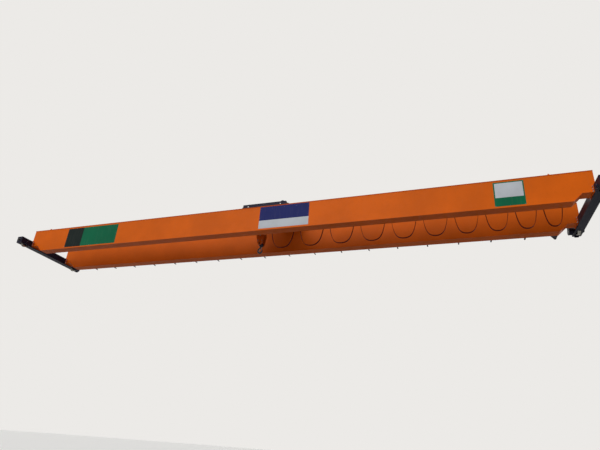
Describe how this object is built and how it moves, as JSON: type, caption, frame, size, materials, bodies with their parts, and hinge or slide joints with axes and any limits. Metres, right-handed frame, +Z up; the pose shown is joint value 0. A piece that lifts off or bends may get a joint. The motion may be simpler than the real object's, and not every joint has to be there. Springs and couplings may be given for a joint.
{
  "type": "double-girder overhead travelling crane",
  "caption": "Overhead travelling crane: box girders on end trucks, a winch trolley on rails, hook block and looped festoon cable.",
  "frame": {"origin": "mid span, midway between the two girders, on the plane of the runway rail heads that the travel wheels stand on", "axes": "+X along the girders to the right of the picture, +Y along the runway away from the viewer, +Z up"},
  "size_m": [20.436, 3.224, 1.909],
  "materials": {
    "crane_orange": "satin enamel",
    "truck_navy": "satin enamel",
    "bare_steel": "worn bare steel",
    "hook_steel": "dull forged steel",
    "buffer_rubber": "matt",
    "cable_rubber": "matt",
    "wire_rope": "greased wire",
    "enclosure_grey": "powder coat"
  },
  "bodies": {
    "bridge": {"near_girder_webs": "crane_orange", "near_girder_top_flange": "crane_orange", "near_girder_bottom_flange": "crane_orange", "far_girder_webs": "crane_orange", "far_girder_top_flange": "crane_orange", "far_girder_bottom_flange": "crane_orange", "girder_end_plates": "crane_orange", "girder_seats": "crane_orange", "near_trolley_rail": "bare_steel", "far_trolley_rail": "bare_steel", "rail_stops": "crane_orange", "left_end_truck": "truck_navy", "right_end_truck": "truck_navy", "truck_end_plates": "truck_navy", "truck_buffers": "buffer_rubber", "wheel_bearings": "truck_navy", "left_travel_drive": "truck_navy", "right_travel_drive": "truck_navy", "foot_brackets": "truck_navy", "festoon_rail": "bare_steel", "festoon_arms": "crane_orange", "festoon_end_box": "enclosure_grey", "festoon_carriers": "bare_steel", "festoon_cable": "cable_rubber"},
    "trolley": {"near_side_beam": "truck_navy", "far_side_beam": "truck_navy", "trolley_cross_beams": "truck_navy", "winch_bearers": "truck_navy", "trolley_wheels": "bare_steel", "trolley_buffers": "buffer_rubber", "near_trolley_drive": "truck_navy", "far_trolley_drive": "truck_navy", "trolley_deck": "truck_navy", "control_box": "enclosure_grey", "festoon_tow_arm": "bare_steel", "rope_drum": "crane_orange", "rope_windings": "wire_rope", "drum_bearing": "truck_navy", "hoist_gearbox": "truck_navy", "hoist_motor": "truck_navy", "equaliser_beam": "truck_navy", "equaliser_sheave": "crane_orange", "hoist_ropes": "wire_rope"},
    "hook_block": {"block_plates": "crane_orange", "block_sheaves": "crane_orange", "block_pin": "bare_steel", "crosshead": "truck_navy"},
    "load_hook": {"hook": "hook_steel", "hook_nut": "bare_steel", "hook_latch": "bare_steel"},
    "near_left_wheel_set": {"near_left_wheel": "bare_steel"},
    "far_left_wheel_set": {"far_left_wheel": "bare_steel"},
    "near_right_wheel_set": {"near_right_wheel": "bare_steel"},
    "far_right_wheel_set": {"far_right_wheel": "bare_steel"}
  },
  "joints": [
    {"name": "trolley_travel", "type": "slide", "parent": "bridge", "child": "trolley", "axis": [1, 0, 0], "range_m": [-8.69, 7.86], "deforming": ["festoon_cable", "festoon_carriers"]},
    {"name": "hoist", "type": "slide", "parent": "trolley", "child": "hook_block", "axis": [0, 0, 1], "range_m": [-6, 0.35], "deforming": ["hoist_ropes"]},
    {"name": "hook_swivel", "type": "hinge", "parent": "hook_block", "child": "load_hook", "pos_m": [-0.2, 0, -0.125], "axis": [0, 0, 1], "continuous": true},
    {"name": "near_left_wheel_roll", "type": "hinge", "parent": "bridge", "child": "near_left_wheel_set", "pos_m": [-10.055, -1.3, 0.125], "axis": [1, 0, 0], "continuous": true},
    {"name": "far_left_wheel_roll", "type": "hinge", "parent": "bridge", "child": "far_left_wheel_set", "pos_m": [-10.055, 1.3, 0.125], "axis": [1, 0, 0], "continuous": true},
    {"name": "near_right_wheel_roll", "type": "hinge", "parent": "bridge", "child": "near_right_wheel_set", "pos_m": [10.055, -1.3, 0.125], "axis": [1, 0, 0], "continuous": true},
    {"name": "far_right_wheel_roll", "type": "hinge", "parent": "bridge", "child": "far_right_wheel_set", "pos_m": [10.055, 1.3, 0.125], "axis": [1, 0, 0], "continuous": true}
  ]
}
